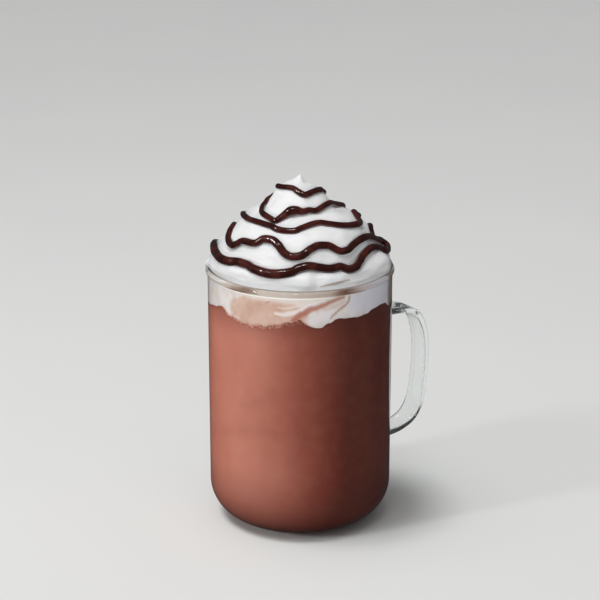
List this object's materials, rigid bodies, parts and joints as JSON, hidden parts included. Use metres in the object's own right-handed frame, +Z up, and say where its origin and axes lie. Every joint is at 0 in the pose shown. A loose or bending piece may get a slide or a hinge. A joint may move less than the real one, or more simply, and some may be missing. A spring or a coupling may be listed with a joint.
{
  "type": "hot chocolate in a glass mug",
  "caption": "Clear glass mug with a side handle, filled with hot chocolate and topped with a whipped cream spiral and chocolate sauce.",
  "frame": {"origin": "centre of the mug's flat base, on the surface it stands on", "axes": "+Z up along the mug's axis, +X towards the middle of the handle"},
  "size_m": [0.1144, 0.0859, 0.1627],
  "materials": {
    "clear_glass": "clear polished borosilicate glass",
    "milk_chocolate_drink": "opaque milky chocolate drink, softly cloudy, wet behind glass",
    "whipped_cream": "soft white whipped cream, faintly translucent",
    "chocolate_sauce": "glossy dark chocolate sauce"
  },
  "bodies": {
    "root": {"glass_mug": "clear_glass", "hot_chocolate": "milk_chocolate_drink", "whipped_cream": "whipped_cream"}
  },
  "joints": []
}
